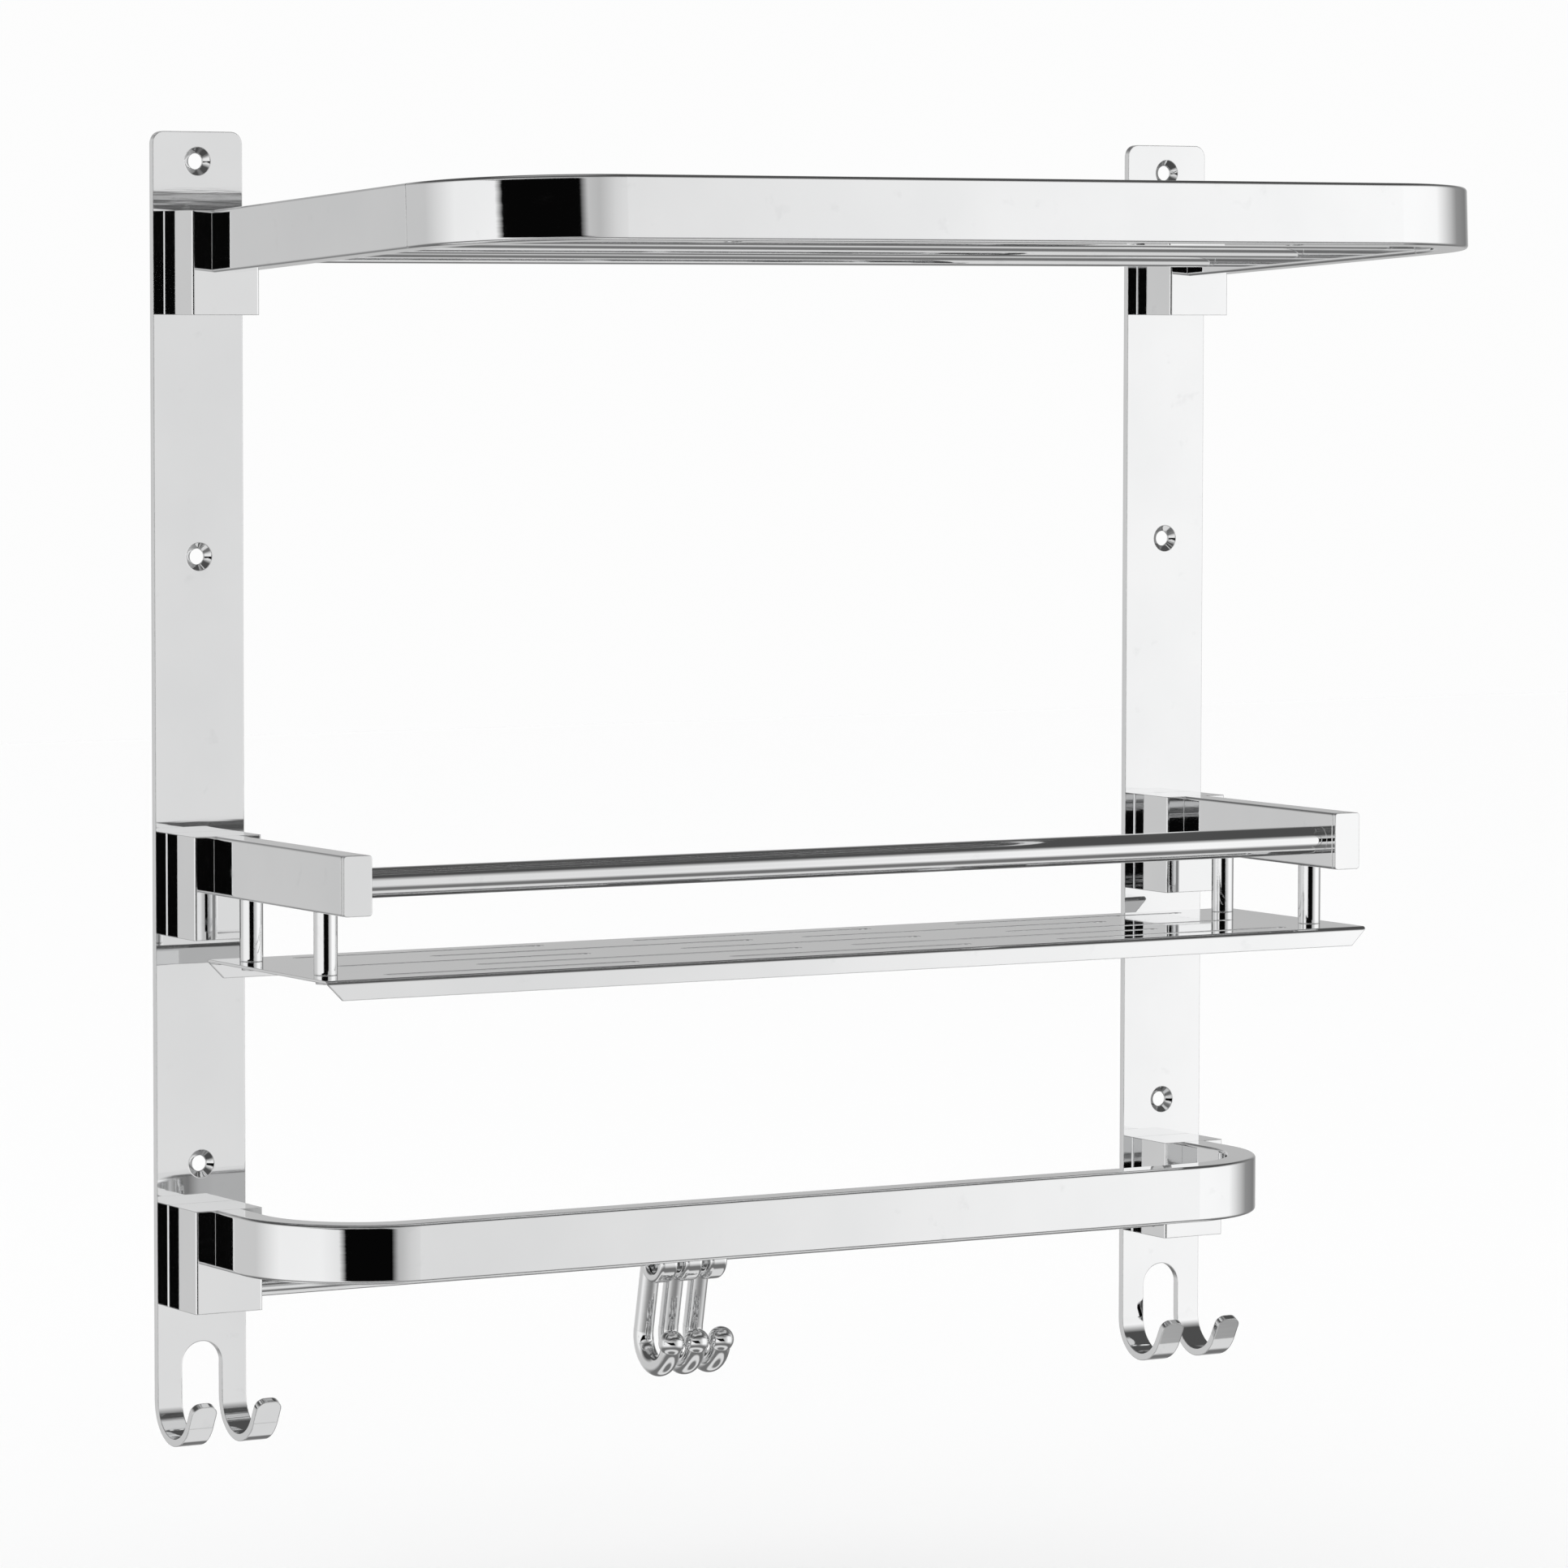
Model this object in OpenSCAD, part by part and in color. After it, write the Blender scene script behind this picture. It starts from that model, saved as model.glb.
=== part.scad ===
// Wall-mounted three-tier bathroom towel rack with shelf, tray, towel bar and sliding hooks.
// Millimetres. +Z is up, the wall is the plane y = 0 and the rack stands out along -Y.
// The origin is the centre of the rectangle of outer wall-screw holes, on the wall plane.

/* [Uprights] */
// Distance between the centre lines of the two uprights
upright_spacing = 470; // [450:10:490]
// Width of each upright strip
upright_width = 40; // [38:1:44]
// Thickness of each upright strip
upright_thickness = 3; // [2.5:0.5:3.5]
// Distance from the top wall hole to the bottom wall hole
wall_hole_span = 408; // [406:1:412]
// Height of the middle wall hole above the origin
middle_hole_z = 44; // [20:1:70]
// Strip left above the centre of the top wall hole
strip_top_margin = 12; // [11:1:16]
// Radius of the rounded top corners of the strip
strip_corner_radius = 5; // [2:0.5:8]
// Diameter of a wall-screw hole
wall_hole_d = 6.5; // [5:0.5:7]
// Diameter of the countersink round a wall-screw hole
wall_countersink_d = 11.5; // [9:0.5:13]

/* [Robe hooks on the uprights] */
// Height of the top of the arch that splits the strip into two prongs
arch_top_z = -277; // [-280:1:-274]
// Width of the slot between the two prongs
slot_width = 18; // [14:1:20]
// Height of the lowest point of the prongs
prong_bottom_z = -317; // [-325:1:-312]
// Outer radius of the bend of a prong
prong_bend_radius = 17; // [14:1:19]
// Lean of the prong tip from the vertical, degrees
prong_tip_lean = 28; // [15:1:40]
// Length of the straight prong tip
prong_tip_length = 10.5; // [8:0.5:14]

/* [Brackets] */
// Width of a bracket block
bracket_width = 30; // [28:1:34]
// Depth of a bracket block in front of the strip
bracket_depth = 26; // [24:1:30]
// Height of a bracket block
bracket_height = 42; // [40:1:46]
// Height of the top of the upper brackets
upper_bracket_z = 184; // [182:1:186]
// Height of the top of the middle brackets
middle_bracket_z = -68; // [-80:1:-50]
// Height of the top of the lower brackets
lower_bracket_z = -220; // [-222:1:-218]
// Diameter of the bracket screws
screw_d = 5; // [4:0.5:5]

/* [Flat tubes] */
// Thickness of every flat tube
tube_thickness = 12.5; // [11:0.5:14]
// Rounding of the long edges of the tubes
tube_rounding = 1.5; // [1:0.25:2.5]
// Wall of the tubes
tube_wall = 1.5; // [1.2:0.1:2]

/* [Towel shelf] */
// Distance from the wall to the front of the shelf
shelf_depth = 260; // [240:5:280]
// Height of the shelf tube
shelf_tube_height = 25; // [23:1:28]
// Outer corner radius of the front tube
shelf_corner_radius = 62; // [50:1:70]
// Upward tilt of the shelf towards its front, degrees
shelf_rise = 3; // [0:0.5:4]
// Diameter of the shelf rods
shelf_rod_d = 10; // [8:0.5:12]
// Distance of the rear shelf rod from the wall
rear_rod_y = 46; // [42:1:50]
// Spacing of the shelf rods
shelf_rod_pitch = 67; // [55:1:70]
// Distance of the two drain holes from the middle of the front tube
drain_hole_x = 130; // [80:5:150]

/* [Tray tier] */
// Distance from the wall to the front of the arms, cap included
arm_depth = 144; // [136:1:160]
// Height of the arm tube, and of the towel bar tube
arm_tube_height = 24; // [22:1:26]
// Diameter of the guard rail
guard_rail_d = 12; // [10:0.5:14]
// Distance of the guard rail from the wall
guard_rail_y = 132; // [120:1:133]
// Diameter of the posts that carry the tray
post_d = 9.5; // [8:0.5:11]
// Length of the posts
post_length = 25; // [22:1:32]
// Distance of the rear posts from the wall
rear_post_y = 50; // [46:1:70]
// Distance of the front posts from the wall
front_post_y = 116; // [100:1:125]
// Length of the tray
tray_length = 494; // [488:1:500]
// Distance from the wall to the rear edge of the tray
tray_rear_y = 34; // [32:1:38]
// Distance from the wall to the front edge of the tray
tray_front_y = 141; // [138:1:150]
// Height of the tray's turned-down front and rear edges
tray_flange = 8; // [7:0.5:12]
// Thickness of the tray sheet
tray_sheet = 1.2; // [1:0.1:1.5]
// Width of a slit in the tray
slit_width = 4.5; // [3:0.5:6]

/* [Towel bar and sliding hooks] */
// Distance from the wall to the front of the towel bar
bar_depth = 105; // [100:1:120]
// Outer corner radius of the towel bar
bar_corner_radius = 54; // [44:1:60]
// Diameter of the hook rail
hook_rail_d = 7; // [6:0.5:7]
// Distance of the hook rail from the wall
hook_rail_reach = 19; // [18.5:0.5:22]
// Height of the hook rail above the bottom of the lower brackets
hook_rail_rise = 7.7; // [6:0.1:9]
// Position of the middle sliding hook along the rail
middle_hook_x = -17; // [-40:1:40]
// Spacing of the sliding hooks
hook_pitch = 12; // [11:0.5:20]
// Thickness of the hook wire
hook_wire_d = 8.6; // [6:0.2:9]
// Diameter of the ball at the end of a sliding hook
hook_ball_d = 11; // [10:0.5:13]

/* [Hidden] */
$fn = 64;
eps = 0.01;
prong_tip_corner = 4;
overlap = 0.5;
hairline = 0.05;
countersink_depth = 2;
bracket_face_y = -(upright_thickness + bracket_depth);
bracket_edge_radius = 1;
hook_rail_y = -hook_rail_reach;
hook_rail_z = lower_bracket_z - bracket_height + hook_rail_rise;
hook_rail_socket = 6;
hook_rail_play = 0.5;
shelf_tube_z = upper_bracket_z - shelf_tube_height / 2;
arm_z = middle_bracket_z - arm_tube_height / 2;
bar_z = lower_bracket_z - arm_tube_height / 2;
plug_length = 14;
cap_thickness = 2;
cap_plug = 8;
groove = 0.4;
fit_gap = 0.05;
screw_clearance = 0.1;
long_screw_reach = 10;
short_screw_reach = 12;
short_screw_rise = 8;
tray_top_z = middle_bracket_z - arm_tube_height - post_length;
tray_screw_d = 4;
tray_screw_depth = 12;
tray_screw_head = 2.4;
tray_bend = 2;
flange_end_cut = 7;
slit_row_pitch = 20;
short_slit = 115;
short_slit_gap = 42.5;
long_slit = 151;
long_slit_gap = 24;
shelf_rod_drop = 4.5;
tilted_end_overrun = 4;
drain_hole_d = 5;
drain_hole_sink_d = 8;
hook_eye_radius = 9.5;
hook_eye_bore = 5.3;
hook_hang = 1.5;
hook_eye_rounding = 1.8;
hook_lean = 12;
hook_leg_top = [6.9, 0];
hook_bend_centre = [1.7, -33.3];
hook_bend_radius = 12;
hook_tip_angle = 172;
hook_ball_inset = 1;
hook_leg_end = hook_bend_centre + hook_bend_radius * [cos(hook_lean), sin(hook_lean)];

chrome = [0.80, 0.81, 0.82];
satin = [0.62, 0.63, 0.65];

// ---------- shared shapes ----------

// Flat rounded rectangle centred on the origin, from squares and circles.
module rounded_rect(w, h, r) {
    square([w - 2 * r, h], center = true);
    square([w, h - 2 * r], center = true);
    for (x = [-1, 1], y = [-1, 1])
        translate([x * (w / 2 - r), y * (h / 2 - r)]) circle(r = r, $fn = 32);
}

// Section of a flat tube: skin outside, core inside.
module tube_skin(height) {
    rounded_rect(tube_thickness, height, tube_rounding);
}

module tube_core(height, gap = 0) {
    w = tube_thickness - 2 * tube_wall - 2 * gap;
    rounded_rect(w, height - 2 * tube_wall - 2 * gap, tube_rounding / 2);
}

// A straight length of section running forwards from y = -from to y = -to.
module along_y(from, to) {
    translate([0, -from, 0]) rotate([90, 0, 0]) linear_extrude(to - from) children();
}

// A straight length of section from x0 to x1.
module along_x(x0, x1) {
    translate([x0, 0, 0]) rotate([90, 0, 90]) linear_extrude(x1 - x0) children();
}

// Right half of a U-shaped front: the corner, then the straight up to x = 0.
// half is the centre line of the leg, depth the front line, radius the outer corner radius.
module u_front_half(half, depth, radius) {
    bend = radius - tube_thickness / 2;
    translate([half - bend, -depth + radius, 0]) rotate([0, 0, -90])
        rotate_extrude(angle = 90, $fn = 128) translate([bend, 0]) children();
    translate([0, -depth + tube_thickness / 2, 0]) along_x(0, half - bend) children();
}

module u_front(half, depth, radius) {
    u_front_half(half, depth, radius) children();
    mirror([1, 0, 0]) u_front_half(half, depth, radius) children();
}

// A round rod along X between two points, closed ends.
module rod_x(x0, x1, d) {
    translate([x0, 0, 0]) rotate([0, 90, 0]) cylinder(h = x1 - x0, d = d);
}

// Frame of the tilted towel shelf: its origin is on the bracket face, at the tube's mid height.
module in_shelf_frame() {
    translate([0, bracket_face_y, shelf_tube_z]) rotate([-shelf_rise, 0, 0]) children();
}

// Keeps only what is in front of the bracket faces, so that tilted ends butt up plumb.
module trimmed_at_brackets() {
    difference() {
        children();
        translate([-upright_spacing, bracket_face_y, upper_bracket_z - bracket_height])
            cube([2 * upright_spacing, bracket_depth, 2 * bracket_height]);
    }
}

// Slightly smaller section, which leaves a hairline groove where two tubes meet.
module tube_neck(height) {
    rounded_rect(tube_thickness - groove, height - groove, tube_rounding);
}

// ---------- uprights ----------

// Side view of a prong: x towards the wall, y up, the centre of its bend at the origin.
// The tip is a hair thinner than the bend and starts just inside it.
module prong_profile() {
    inner = prong_bend_radius - upright_thickness;
    far = 2 * prong_bend_radius;
    difference() {
        circle(r = prong_bend_radius);
        circle(r = inner);
        translate([-far, 0]) square([2 * far, far]);
        rotate(prong_tip_lean - 180) translate([-far, -far]) square([2 * far, far]);
    }
    rotate(prong_tip_lean - 180) translate([inner + hairline, -prong_tip_length])
        square([upright_thickness - 2 * hairline, prong_tip_length + overlap]);
}

// One J-shaped prong centred at x, its tip leaning forwards with two rounded corners.
module prong(x) {
    width = (upright_width - slot_width) / 2;
    inner = prong_bend_radius - upright_thickness;
    r = prong_tip_corner;
    translate([x, -prong_bend_radius, prong_bottom_z + prong_bend_radius]) difference() {
        along_x(-width / 2, width / 2) prong_profile();
        rotate([prong_tip_lean - 180, 0, 0]) for (side = [0, 1]) mirror([side, 0, 0])
            translate([width / 2 - r, inner - 1, r - prong_tip_length]) rotate([-90, 0, 0])
                linear_extrude(upright_thickness + 2) difference() {
                    square(r + 1);
                    circle(r = r);
                }
    }
}

module strip_outline() {
    top = wall_hole_span / 2 + strip_top_margin;
    bottom = prong_bottom_z + prong_bend_radius;
    r = strip_corner_radius;
    w = upright_width;
    difference() {
        union() {
            translate([-w / 2, bottom]) square([w, top - r - bottom]);
            translate([-w / 2 + r, bottom]) square([w - 2 * r, top - bottom]);
            for (side = [-1, 1]) translate([side * (w / 2 - r), top - r]) circle(r = r);
        }
        translate([0, arch_top_z - slot_width / 2]) circle(d = slot_width);
        translate([-slot_width / 2, bottom - 1])
            square([slot_width, arch_top_z - slot_width / 2 - bottom + 1]);
    }
}

// Countersunk hole for a wall screw, opening to the front.
module wall_hole(z) {
    sink = countersink_depth;
    translate([0, 1, z]) rotate([90, 0, 0]) cylinder(h = upright_thickness + 2, d = wall_hole_d);
    translate([0, -upright_thickness + sink, z]) rotate([90, 0, 0])
        cylinder(h = sink, d1 = wall_hole_d, d2 = wall_countersink_d);
    translate([0, -upright_thickness + eps, z]) rotate([90, 0, 0])
        cylinder(h = 1, d = wall_countersink_d);
}

// Heights of the two screws behind a bracket: [into the tube plug, into the block].
function screw_heights(tube_z, bracket_z) = [tube_z, bracket_z - bracket_height + short_screw_rise];

brackets = [
    [upper_bracket_z, shelf_tube_z],
    [middle_bracket_z, arm_z],
    [lower_bracket_z, bar_z]
];

// Countersunk screw pointing forwards, its head flush with y = 0; grow adds clearance all round.
module screw_shape(length, grow = 0) {
    head_d = 2 * screw_d;
    head_h = screw_d / 2;
    rotate([90, 0, 0]) {
        cylinder(h = length, d = screw_d + 2 * grow);
        cylinder(h = head_h, d1 = head_d + 2 * grow, d2 = screw_d + 2 * grow);
    }
}

module upright(side) {
    translate([side * upright_spacing / 2, 0, 0]) {
        difference() {
            rotate([90, 0, 0]) linear_extrude(upright_thickness) strip_outline();
            for (z = [-wall_hole_span / 2, middle_hole_z, wall_hole_span / 2]) wall_hole(z);
            for (b = brackets, z = screw_heights(b[1], b[0]))
                translate([0, eps, z]) screw_shape(upright_thickness + 2, screw_clearance);
        }
        for (x = [-1, 1]) prong(x * (upright_width + slot_width) / 4);
    }
}

module upright_left() { color(chrome) upright(-1); }

module upright_right() { color(chrome) upright(1); }

// ---------- brackets ----------

module bracket(side, top_z, tube_z) {
    translate([side * upright_spacing / 2, -upright_thickness - bracket_depth / 2, top_z - bracket_height])
        difference() {
            linear_extrude(bracket_height)
                rounded_rect(bracket_width, bracket_depth, bracket_edge_radius);
            translate([0, bracket_depth / 2 + 1, tube_z - top_z + bracket_height]) rotate([90, 0, 0])
                cylinder(h = bracket_depth + 2, d = screw_d + 2 * screw_clearance);
            translate([0, bracket_depth / 2 + 1, short_screw_rise]) rotate([90, 0, 0])
                cylinder(h = short_screw_reach + 2, d = screw_d + 2 * screw_clearance);
        }
}

// A lower bracket has a blind socket for the hook rail in its inner side.
module lower_bracket(side) {
    inner_x = side * (upright_spacing - bracket_width) / 2;
    difference() {
        bracket(side, lower_bracket_z, bar_z);
        translate([inner_x, hook_rail_y, hook_rail_z])
            rod_x(-hook_rail_socket, hook_rail_socket, hook_rail_d + 2 * fit_gap);
    }
}

module bracket_upper_left() { color(chrome) bracket(-1, upper_bracket_z, shelf_tube_z); }

module bracket_upper_right() { color(chrome) bracket(1, upper_bracket_z, shelf_tube_z); }

module bracket_middle_left() { color(chrome) bracket(-1, middle_bracket_z, arm_z); }

module bracket_middle_right() { color(chrome) bracket(1, middle_bracket_z, arm_z); }

module bracket_lower_left() { color(chrome) lower_bracket(-1); }

module bracket_lower_right() { color(chrome) lower_bracket(1); }

// ---------- towel shelf ----------

shelf_reach = shelf_depth + bracket_face_y;
shelf_seam = shelf_reach - shelf_corner_radius;
half_spacing = upright_spacing / 2;

module shelf_arm(side) {
    trimmed_at_brackets() in_shelf_frame() translate([side * half_spacing, 0, 0]) difference() {
        union() {
            along_y(-tilted_end_overrun, shelf_seam - groove) tube_skin(shelf_tube_height);
            along_y(shelf_seam - groove, shelf_seam) tube_neck(shelf_tube_height);
        }
        along_y(-tilted_end_overrun - 1, shelf_seam + 1) tube_core(shelf_tube_height);
    }
}

module shelf_arm_left() { color(chrome) shelf_arm(-1); }

module shelf_arm_right() { color(chrome) shelf_arm(1); }

module shelf_front_tube() {
    color(chrome) in_shelf_frame() difference() {
        u_front(half_spacing, shelf_reach, shelf_corner_radius) tube_skin(shelf_tube_height);
        u_front(half_spacing, shelf_reach, shelf_corner_radius) tube_core(shelf_tube_height);
        for (side = [-1, 1])
            translate([side * drain_hole_x, -shelf_reach + tube_thickness / 2, -shelf_tube_height / 2])
                drain_hole();
    }
}

// Countersunk drain hole through the underside of the front tube, opening downwards at z = 0.
module drain_hole() {
    translate([0, 0, -1]) cylinder(h = tube_wall + 2, d = drain_hole_d);
    translate([0, 0, -eps]) cylinder(h = 1, d1 = drain_hole_sink_d, d2 = drain_hole_d);
}

module shelf_rod(index) {
    inner = half_spacing - tube_thickness / 2;
    y = -(rear_rod_y + index * shelf_rod_pitch) - bracket_face_y;
    in_shelf_frame() translate([0, y, -shelf_rod_drop]) rod_x(-inner, inner, shelf_rod_d);
}

module shelf_rod_rear() { color(chrome) shelf_rod(0); }

module shelf_rod_middle() { color(chrome) shelf_rod(1); }

module shelf_rod_front() { color(chrome) shelf_rod(2); }

// ---------- tray tier ----------

module tray_arm(side) {
    reach = arm_depth - cap_thickness;
    start = -bracket_face_y;
    translate([side * half_spacing, 0, arm_z]) difference() {
        union() {
            along_y(start, reach - groove) tube_skin(arm_tube_height);
            along_y(reach - groove, reach) tube_neck(arm_tube_height);
        }
        along_y(start - 1, reach + 1) tube_core(arm_tube_height);
    }
}

module tray_arm_left() { color(chrome) tray_arm(-1); }

module tray_arm_right() { color(chrome) tray_arm(1); }

// End cap of a tray arm: a plate flush with the tube and a plug inside it.
module arm_cap(side) {
    reach = arm_depth - cap_thickness;
    translate([side * half_spacing, 0, arm_z]) {
        along_y(reach, arm_depth) tube_skin(arm_tube_height);
        along_y(reach - cap_plug, reach) tube_core(arm_tube_height, fit_gap);
    }
}

module arm_cap_left() { color(chrome) arm_cap(-1); }

module arm_cap_right() { color(chrome) arm_cap(1); }

module guard_rail() {
    inner = half_spacing - tube_thickness / 2;
    color(chrome) translate([0, -guard_rail_y, arm_z]) rod_x(-inner, inner, guard_rail_d);
}

// Post between an arm and the tray, with a blind hole for its screw.
module post(side, y) {
    translate([side * half_spacing, -y, tray_top_z]) difference() {
        cylinder(h = post_length, d = post_d);
        translate([0, 0, -1])
            cylinder(h = tray_screw_depth + 2, d = tray_screw_d + 2 * screw_clearance);
    }
}

module post_rear_left() { color(chrome) post(-1, rear_post_y); }

module post_rear_right() { color(chrome) post(1, rear_post_y); }

module post_front_left() { color(chrome) post(-1, front_post_y); }

module post_front_right() { color(chrome) post(1, front_post_y); }

// Section of the tray across its length: a sheet with both long edges turned down.
module tray_section(inset, bend) {
    w = tray_front_y - tray_rear_y - 2 * inset;
    h = tray_flange - inset;
    translate([-w / 2, -tray_flange - 1]) square([w, h - bend + 1]);
    translate([-w / 2 + bend, -tray_flange - 1]) square([w - 2 * bend, h + 1]);
    for (side = [-1, 1])
        translate([side * (w / 2 - bend), h - bend - tray_flange]) circle(r = bend, $fn = 48);
}

// One slit with round ends, lying along X in a plan view.
module slit(x, length) {
    straight = length - slit_width;
    translate([x - straight / 2, -slit_width / 2]) square([straight, slit_width]);
    for (side = [-1, 1]) translate([x + side * straight / 2, 0]) circle(d = slit_width, $fn = 32);
}

// Rows of three short slits and rows of two long slits, turn and turn about.
module slit_pattern() {
    for (row = [-2 : 2]) translate([0, row * slit_row_pitch])
        if (row % 2 == 0)
            for (i = [-1, 0, 1]) slit(i * (short_slit + short_slit_gap), short_slit);
        else
            for (side = [-1, 1]) slit(side * (long_slit + long_slit_gap) / 2, long_slit);
}

// Cutter that slants the ends of the turned-down edges, for the right end of the tray.
module flange_end_cutter() {
    depth = tray_front_y - tray_rear_y + 2;
    cut = flange_end_cut + 2;
    translate([tray_length / 2 - flange_end_cut, depth / 2, -tray_flange]) rotate([90, 0, 0])
        linear_extrude(depth) polygon([[-1, -1], [cut, -1], [cut, cut]]);
}

module tray() {
    middle_y = -(tray_rear_y + tray_front_y) / 2;
    color(chrome) translate([0, middle_y, tray_top_z]) difference() {
        along_x(-tray_length / 2, tray_length / 2) difference() {
            tray_section(0, tray_bend);
            tray_section(tray_sheet, tray_bend - tray_sheet);
            translate([-tray_length / 2, -2 * tray_flange]) square([tray_length, tray_flange]);
        }
        translate([0, 0, -tray_sheet - 1]) linear_extrude(tray_sheet + 2) slit_pattern();
        for (side = [0, 1]) mirror([side, 0, 0]) flange_end_cutter();
        for (side = [-1, 1], y = [rear_post_y, front_post_y])
            translate([side * half_spacing, -y - middle_y, -tray_sheet - 1])
                cylinder(h = tray_sheet + 2, d = tray_screw_d + 2 * screw_clearance);
    }
}

// ---------- towel bar and hook rail ----------

module towel_bar() {
    reach = bar_depth + bracket_face_y;
    straight = reach - bar_corner_radius;
    color(chrome) translate([0, bracket_face_y, bar_z]) difference() {
        union() {
            u_front(half_spacing, reach, bar_corner_radius) tube_skin(arm_tube_height);
            for (side = [-1, 1]) translate([side * half_spacing, 0, 0])
                along_y(0, straight) tube_skin(arm_tube_height);
        }
        u_front(half_spacing, reach, bar_corner_radius) tube_core(arm_tube_height);
        for (side = [-1, 1]) translate([side * half_spacing, 0, 0])
            along_y(-1, straight) tube_core(arm_tube_height);
    }
}

module hook_rail() {
    end = (upright_spacing - bracket_width) / 2 + hook_rail_socket - hook_rail_play;
    color(chrome) translate([0, hook_rail_y, hook_rail_z]) rod_x(-end, end, hook_rail_d);
}

// ---------- fixings ----------

// Threaded plugs that close the wall ends of the six tubes.
module tube_plugs() {
    color(satin) difference() {
        union() {
            trimmed_at_brackets() in_shelf_frame() for (side = [-1, 1])
                translate([side * half_spacing, 0, 0])
                    along_y(-tilted_end_overrun, plug_length) tube_core(shelf_tube_height, fit_gap);
            for (side = [-1, 1], z = [arm_z, bar_z])
                translate([side * half_spacing, bracket_face_y, z])
                    along_y(0, plug_length) tube_core(arm_tube_height, fit_gap);
        }
        for (side = [-1, 1], z = [shelf_tube_z, arm_z, bar_z])
            translate([side * half_spacing, bracket_face_y + 1, z]) rotate([90, 0, 0])
                cylinder(h = long_screw_reach + 2, d = screw_d + 2 * screw_clearance);
    }
}

module bracket_screws_long() {
    length = upright_thickness + bracket_depth + long_screw_reach;
    color(satin) for (side = [-1, 1], z = [shelf_tube_z, arm_z, bar_z])
        translate([side * half_spacing, 0, z]) screw_shape(length);
}

module bracket_screws_short() {
    length = upright_thickness + short_screw_reach;
    color(satin) for (side = [-1, 1], b = brackets)
        translate([side * half_spacing, 0, b[0] - bracket_height + short_screw_rise])
            screw_shape(length);
}

module tray_screws() {
    color(satin) for (side = [-1, 1], y = [rear_post_y, front_post_y])
        translate([side * half_spacing, -y, tray_top_z - tray_sheet]) {
            cylinder(h = tray_sheet + tray_screw_depth, d = tray_screw_d);
            translate([0, 0, -tray_screw_head]) cylinder(h = tray_screw_head, d = 2 * tray_screw_d);
        }
}

// ---------- sliding hooks ----------

// One hook hung on the rail: an eye round the rail, a leg behind it, a round bend and a ball tip.
module sliding_hook(index) {
    x = middle_hook_x + (index - 2) * hook_pitch;
    color(chrome) translate([x, hook_rail_y, hook_rail_z - hook_hang]) {
        hook_eye();
        difference() {
            hook_leg();
            rod_x(-hook_wire_d, hook_wire_d, hook_eye_bore + hook_eye_radius);
        }
        hook_bend();
    }
}

module hook_eye() {
    rotate([0, 90, 0]) rotate_extrude()
        translate([(hook_eye_bore + hook_eye_radius) / 2, 0])
            rounded_rect(hook_eye_radius - hook_eye_bore, hook_wire_d, hook_eye_rounding);
}

// The leg leans forwards from the end of the bend to the rear of the eye, and tapers at its top.
// It is a hair thinner than the bend and starts just inside it.
module hook_leg() {
    length = norm(hook_leg_end - hook_leg_top);
    width = hook_wire_d - 2 * hairline;
    taper = 3;
    translate([0, hook_leg_end[0], hook_leg_end[1]]) rotate([hook_lean, 0, 0]) {
        translate([0, 0, -overlap]) cylinder(h = length - 1 + overlap, d = width);
        translate([0, 0, length - 1]) cylinder(h = taper, d1 = width, d2 = width - taper);
    }
}

module hook_bend() {
    translate([0, hook_bend_centre[0], hook_bend_centre[1]]) {
        rotate([hook_lean, 0, 0]) rotate([-90, 0, 90])
            rotate_extrude(angle = hook_tip_angle + hook_lean)
                translate([hook_bend_radius, 0]) circle(d = hook_wire_d);
        rotate([-hook_tip_angle, 0, 0])
            translate([0, hook_bend_radius, -hook_ball_inset]) sphere(d = hook_ball_d);
    }
}

module sliding_hook_1() { sliding_hook(1); }

module sliding_hook_2() { sliding_hook(2); }

module sliding_hook_3() { sliding_hook(3); }

upright_left();
upright_right();
bracket_upper_left();
bracket_upper_right();
bracket_middle_left();
bracket_middle_right();
bracket_lower_left();
bracket_lower_right();
shelf_arm_left();
shelf_arm_right();
shelf_front_tube();
shelf_rod_rear();
shelf_rod_middle();
shelf_rod_front();
tray_arm_left();
tray_arm_right();
arm_cap_left();
arm_cap_right();
guard_rail();
post_rear_left();
post_rear_right();
post_front_left();
post_front_right();
tray();
towel_bar();
hook_rail();
tube_plugs();
bracket_screws_long();
bracket_screws_short();
tray_screws();
sliding_hook_1();
sliding_hook_2();
sliding_hook_3();
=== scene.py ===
"""Looks of the wall towel rack: chrome and steel materials, studio light and camera."""

import math

import bpy
from mathutils import Matrix, Vector


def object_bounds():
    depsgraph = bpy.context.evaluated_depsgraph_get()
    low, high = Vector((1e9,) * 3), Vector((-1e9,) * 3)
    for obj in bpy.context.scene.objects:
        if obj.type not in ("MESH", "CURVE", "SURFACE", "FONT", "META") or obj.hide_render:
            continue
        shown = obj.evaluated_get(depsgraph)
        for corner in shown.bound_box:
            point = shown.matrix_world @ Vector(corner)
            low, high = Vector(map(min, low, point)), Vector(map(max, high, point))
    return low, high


MM = 0.001

# ---------- studio ----------
FLOOR_DROP = 0.13          # floor below the lowest prong, m
FLOOR_HALF = 6.0           # half side of the floor, m
FLOOR_TONE = 0.9
BACKDROP = 0.98            # brightness of the plain backdrop behind the rack
TOP_LIGHT = 3.1            # strength of the soft light from above
TOP_LIGHT_ANGLE = 90       # its spread, degrees
TOP_LIGHT_AIM = (0.2, 0.3, -1.0)

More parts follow.
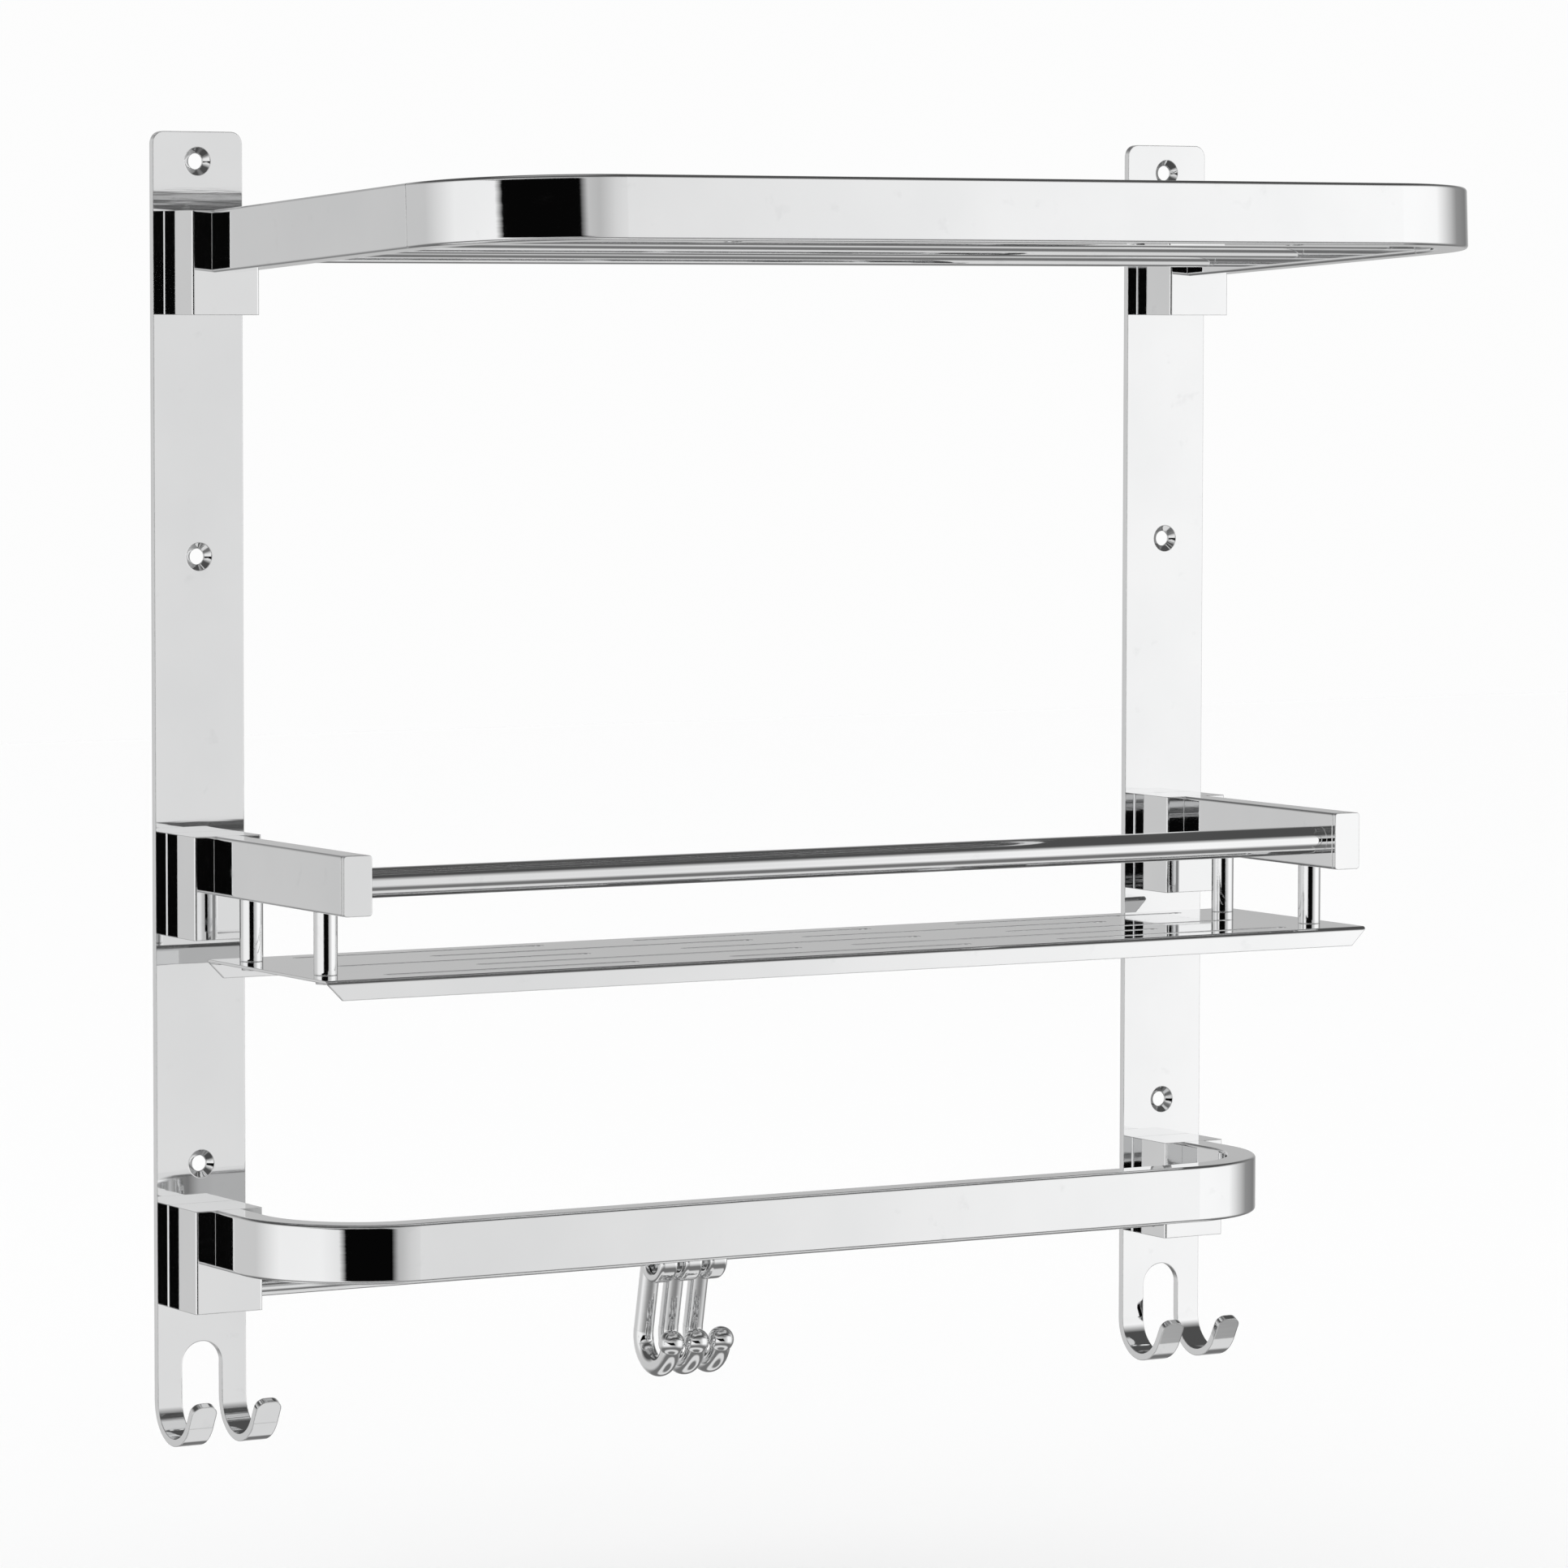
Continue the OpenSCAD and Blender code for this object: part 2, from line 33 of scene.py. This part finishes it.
# The light tent that the chrome reflects. Heights are the sine of the elevation, -1 to 1.
# Its brightness near the horizon by bearing: degrees from straight in front, positive to the right.
TENT = [
    (-180, 0.62), (-128, 0.62), (-100, 0.95), (-60, 0.98), (8, 0.52), (24, 0.78), (29, 0.80), (33, 1.00),
    (37, 1.08), (70, 1.05), (100, 0.30), (122, 0.22), (138, 0.48), (168, 0.56), (180, 1.00),
]
# The bands above and below it, each as brightness and the heights where it fades in.
BANDS = [
    (0.08, 0.25, 0.60),    # dark ceiling
    (0.35, 0.90, 0.98),    # paler zenith
    (0.18, -0.30, -0.55),  # ground
    (0.75, -0.74, -0.80),  # pale ring in the ground
    (0.18, -0.91, -0.96),  # ground straight below
]
# The dark screen in front of the rack: it stands to the left, and leans to the right lower down.
SCREEN_TONE = 0.002
SCREEN_MIDDLE = -28.0      # bearing of its middle on the horizon, degrees
SCREEN_LEAN = -70.0        # change of that bearing per unit of height
SCREEN_HALF = 28.0         # half its width on the horizon, degrees
SCREEN_SPREAD = 38.0       # change of the half width per unit of height
SCREEN_SOFTNESS = 3.0      # half the width of its soft sides, degrees
SCREEN_HEIGHT = 0.18       # how far it reaches above and below the horizon
SCREEN_FADE = 0.08         # height over which it then fades out

# ---------- materials ----------
CHROME_EDGE = 0.6 * MM     # rounding of the chrome's edges
CHROME_RIPPLE = 0.05 * MM  # depth of the ripple in the chrome
STEEL_EDGE = 0.3 * MM      # rounding of the steel's edges
STEEL_RINGS = 0.02 * MM    # depth of the turning marks in the steel
STEEL_NODES = ("tube_plugs", "bracket_screws_long", "bracket_screws_short", "tray_screws")

# ---------- camera ----------
CAMERA_PLACE = (-1.4864, -2.5949, 0.1510)
CAMERA_AZIMUTH = -30.51    # degrees, 0 looks along +Y
CAMERA_ELEVATION = 3.97
CAMERA_ROLL = 0.11
CAMERA_LENS = 162.2        # mm, on a sensor 36 mm wide
CAMERA_SENSOR = 36.0
CAMERA_RANGE = (0.05, 60.0)


class Nodes:
    """Short calls for building a node tree, which starts empty."""

    def __init__(self, tree):
        self.tree = tree
        tree.nodes.clear()

    def add(self, kind, **values):
        """A new node. A value is a property of the node, or else a socket with _ for each space."""
        node = self.tree.nodes.new(kind)
        for key, value in values.items():
            if hasattr(node, key):
                setattr(node, key, value)
            else:
                node.inputs[key.replace("_", " ")].default_value = value
        return node

    def link(self, source, target):
        self.tree.links.new(source, target)

    def noise(self, place, scale, detail=3.0, stretch=(1, 1, 1)):
        spread = self.add("ShaderNodeMapping")
        spread.inputs["Scale"].default_value = stretch
        self.link(place, spread.inputs["Vector"])
        node = self.add("ShaderNodeTexNoise", Scale=scale, Detail=detail)
        self.link(spread.outputs[0], node.inputs["Vector"])
        return node.outputs["Fac"]

    def remap(self, value, low, high, to_low, to_high):
        """Carries the span low to high over to the span to_low to to_high, clamped at both ends."""
        node = self.add("ShaderNodeMapRange", From_Min=low, From_Max=high, To_Min=to_low, To_Max=to_high)
        self.link(value, node.inputs["Value"])
        return node.outputs[0]

    def math(self, operation, *values):
        node = self.add("ShaderNodeMath", operation=operation)
        for socket, value in zip(node.inputs, values):
            if isinstance(value, (int, float)):
                socket.default_value = value
            else:
                self.link(value, socket)
        return node.outputs[0]

    def mix(self, factor, a, b):
        """The colour a where factor is 0 and b where it is 1."""
        node = self.add("ShaderNodeMix", data_type="RGBA")
        self.link(factor, node.inputs["Factor"])
        for name, value in (("A", a), ("B", b)):
            socket = [s for s in node.inputs if s.name == name and s.type == "RGBA"][0]
            if isinstance(value, tuple):
                socket.default_value = value
            else:
                self.link(value, socket)
        return [s for s in node.outputs if s.type == "RGBA"][0]


def grey(value, tint=0.0):
    """A linear grey, cooler by tint."""
    return (value - tint, value, value + tint, 1.0)


def new_metal(name):
    """A metallic material: its node helper, its shader and the place on the object."""
    material = bpy.data.materials.new(name)
    material.use_nodes = True
    n = Nodes(material.node_tree)
    out = n.add("ShaderNodeOutputMaterial")
    shader = n.add("ShaderNodeBsdfPrincipled", Metallic=1.0)
    n.link(shader.outputs[0], out.inputs["Surface"])
    place = n.add("ShaderNodeTexCoord").outputs["Object"]
    return material, n, shader, place


def add_bump(n, shader, normal, height, strength, distance):
    bump = n.add("ShaderNodeBump", Strength=strength, Distance=distance)
    n.link(normal, bump.inputs["Normal"])
    n.link(height, bump.inputs["Height"])
    n.link(bump.outputs[0], shader.inputs["Normal"])


def edge_mask(n, bevel):
    """0 on flat faces, rising to 1 on the rounded edges."""
    surface = n.add("ShaderNodeNewGeometry")
    dot = n.add("ShaderNodeVectorMath", operation="DOT_PRODUCT")
    n.link(bevel, dot.inputs[0])
    n.link(surface.outputs["Normal"], dot.inputs[1])
    return n.remap(dot.outputs["Value"], 0.999, 0.93, 0.0, 1.0)


def polished_chrome():
    """Mirror chrome: faint polishing haze and water marks, a slight ripple, softened edges, and painted shade
    darkening the rounded edges.
    """
    material, n, shader, place = new_metal("polished_chrome")
    bevel = n.add("ShaderNodeBevel", samples=6, Radius=CHROME_EDGE).outputs[0]
    edges = edge_mask(n, bevel)
    haze = n.noise(place, 14.0, 4.0)
    marks = n.noise(place, 90.0, 6.0)
    lines = n.noise(place, 30.0, 2.0, (1.0, 1.0, 14.0))

    tone = n.mix(n.remap(haze, 0.35, 0.65, 0.0, 1.0), grey(0.86, 0.004), grey(0.90, 0.002))
    tone = n.mix(n.remap(marks, 0.66, 0.74, 0.0, 0.35), tone, grey(0.78, 0.004))
    # Painted shade: the rounded edges get a darker base colour, standing in for the dark outlines along the
    # chrome's edges.
    n.link(n.mix(edges, tone, grey(0.80)), shader.inputs["Base Color"])

    rough = n.remap(haze, 0.3, 0.7, 0.015, 0.045)
    rough = n.math("ADD", rough, n.remap(marks, 0.62, 0.74, 0.0, 0.06))
    rough = n.math("ADD", rough, n.remap(edges, 0.0, 1.0, 0.0, 0.03))
    n.link(rough, shader.inputs["Roughness"])

    add_bump(n, shader, bevel, lines, 0.12, CHROME_RIPPLE)
    return material


def satin_steel():
    """Turned steel of the screws and plugs: fine marks, dull, with faint stains."""
    material, n, shader, place = new_metal("satin_steel")
    bevel = n.add("ShaderNodeBevel", samples=4, Radius=STEEL_EDGE).outputs[0]
    rings = n.noise(place, 900.0, 3.0, (1.0, 6.0, 1.0))
    stain = n.noise(place, 120.0, 4.0)
    tone = n.mix(n.remap(stain, 0.35, 0.65, 0.0, 1.0), grey(0.50, 0.004), grey(0.64, 0.002))
    n.link(tone, shader.inputs["Base Color"])
    n.link(n.remap(rings, 0.3, 0.7, 0.22, 0.38), shader.inputs["Roughness"])
    add_bump(n, shader, bevel, rings, 0.3, STEEL_RINGS)
    return material


def dress(nodes):
    """Gives each CAD node its material."""
    chrome = polished_chrome()
    steel = satin_steel()
    for name, node in nodes.items():
        node.data.materials.clear()
        node.data.materials.append(steel if name in STEEL_NODES else chrome)


def floor_material():
    """Plain matt paint."""
    material = bpy.data.materials.new("floor_paint")
    material.use_nodes = True
    n = Nodes(material.node_tree)
    out = n.add("ShaderNodeOutputMaterial")
    shader = n.add("ShaderNodeBsdfPrincipled", Roughness=0.8)
    shader.inputs["Base Color"].default_value = grey(FLOOR_TONE)
    n.link(shader.outputs[0], out.inputs["Surface"])
    return material


def make_floor(z):
    """A square floor at height z, which the chrome doesn't reflect: the tent has its own ground."""
    mesh = bpy.data.meshes.new("floor")
    h = FLOOR_HALF
    mesh.from_pydata([(-h, -h, z), (h, -h, z), (h, h, z), (-h, h, z)], [], [(0, 1, 2, 3)])
    floor = bpy.data.objects.new("floor", mesh)
    bpy.context.scene.collection.objects.link(floor)
    floor.data.materials.append(floor_material())
    floor.visible_glossy = False


def make_top_light():
    """A wide soft light from above, a little from the front left, which the chrome doesn't reflect."""
    data = bpy.data.lights.new("top_light", "SUN")
    data.energy = TOP_LIGHT
    data.angle = math.radians(TOP_LIGHT_ANGLE)
    light = bpy.data.objects.new("top_light", data)
    bpy.context.scene.collection.objects.link(light)
    light.rotation_mode = "QUATERNION"
    light.rotation_quaternion = Vector(TOP_LIGHT_AIM).to_track_quat("-Z", "Y")
    light.visible_glossy = False


def screen_mask(n, bearing, height):
    """1 on the dark screen, 0 beside, above and below it."""
    middle = n.math("ADD", n.math("MULTIPLY", height, math.radians(SCREEN_LEAN)), math.radians(SCREEN_MIDDLE))
    half = n.math("ADD", n.math("MULTIPLY", height, math.radians(SCREEN_SPREAD)), math.radians(SCREEN_HALF))
    away = n.math("ABSOLUTE", n.math("SUBTRACT", bearing, middle))
    soft = math.radians(SCREEN_SOFTNESS)
    across = n.remap(n.math("SUBTRACT", away, half), -soft, soft, 1.0, 0.0)
    tall = n.remap(n.math("ABSOLUTE", height), SCREEN_HEIGHT, SCREEN_HEIGHT + SCREEN_FADE, 1.0, 0.0)
    return n.math("MULTIPLY", across, tall)


def tent_ramp(n, bearing):
    """Brightness of the tent near the horizon."""
    ramp = n.add("ShaderNodeValToRGB")
    n.link(n.remap(bearing, -math.pi, math.pi, 0.0, 1.0), ramp.inputs[0])
    stops = ramp.color_ramp.elements
    first, *between, last = TENT
    # A new ramp already has a stop at each end.
    stops[0].color = grey(first[1])
    stops[1].color = grey(last[1])
    for degrees, value in between:
        stops.new(degrees / 360.0 + 0.5).color = grey(value)
    return ramp.outputs[0]


def make_tent():
    """The light tent as the world: ramp, dark screen, then the bands above and below."""
    world = bpy.data.worlds.new("tent")
    bpy.context.scene.world = world
    world.use_nodes = True
    n = Nodes(world.node_tree)
    out = n.add("ShaderNodeOutputWorld")
    back = n.add("ShaderNodeBackground", Strength=1.0)
    n.link(back.outputs[0], out.inputs["Surface"])
    direction = n.add("ShaderNodeSeparateXYZ")
    n.link(n.add("ShaderNodeTexCoord").outputs["Generated"], direction.inputs[0])
    x, y, height = direction.outputs
    bearing = n.math("ARCTAN2", x, n.math("MULTIPLY", y, -1.0))
    light = n.mix(screen_mask(n, bearing, height), tent_ramp(n, bearing), grey(SCREEN_TONE))
    for value, start, end in BANDS:
        light = n.mix(n.remap(height, start, end, 0.0, 1.0), light, grey(value))
    seen = n.add("ShaderNodeLightPath").outputs["Is Camera Ray"]
    n.link(n.mix(seen, light, grey(BACKDROP)), back.inputs["Color"])


def make_camera():
    """A long lens from the front left, a little above the middle of the rack."""
    data = bpy.data.cameras.new("camera")
    data.lens = CAMERA_LENS
    data.sensor_width = CAMERA_SENSOR
    data.clip_start, data.clip_end = CAMERA_RANGE
    data.dof.use_dof = False
    camera = bpy.data.objects.new("camera", data)
    bpy.context.scene.collection.objects.link(camera)
    azimuth, elevation, roll = (math.radians(a) for a in (CAMERA_AZIMUTH, CAMERA_ELEVATION, CAMERA_ROLL))
    turn = Matrix.Rotation(azimuth, 4, "Z") @ Matrix.Rotation(math.pi / 2 - elevation, 4, "X")
    turn = turn @ Matrix.Rotation(roll, 4, "Z")
    camera.matrix_world = Matrix.Translation(CAMERA_PLACE) @ turn
    bpy.context.scene.camera = camera


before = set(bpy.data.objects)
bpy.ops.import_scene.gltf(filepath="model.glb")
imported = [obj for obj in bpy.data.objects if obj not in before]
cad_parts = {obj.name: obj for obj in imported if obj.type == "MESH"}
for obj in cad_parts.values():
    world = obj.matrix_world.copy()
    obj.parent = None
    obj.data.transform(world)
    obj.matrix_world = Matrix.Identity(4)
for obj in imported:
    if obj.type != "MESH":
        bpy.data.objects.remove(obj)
cad_low, cad_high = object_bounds()
dress(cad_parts)
make_floor(cad_low.z - FLOOR_DROP)
make_tent()
make_top_light()
make_camera()
bpy.context.scene.view_settings.view_transform = "Standard"
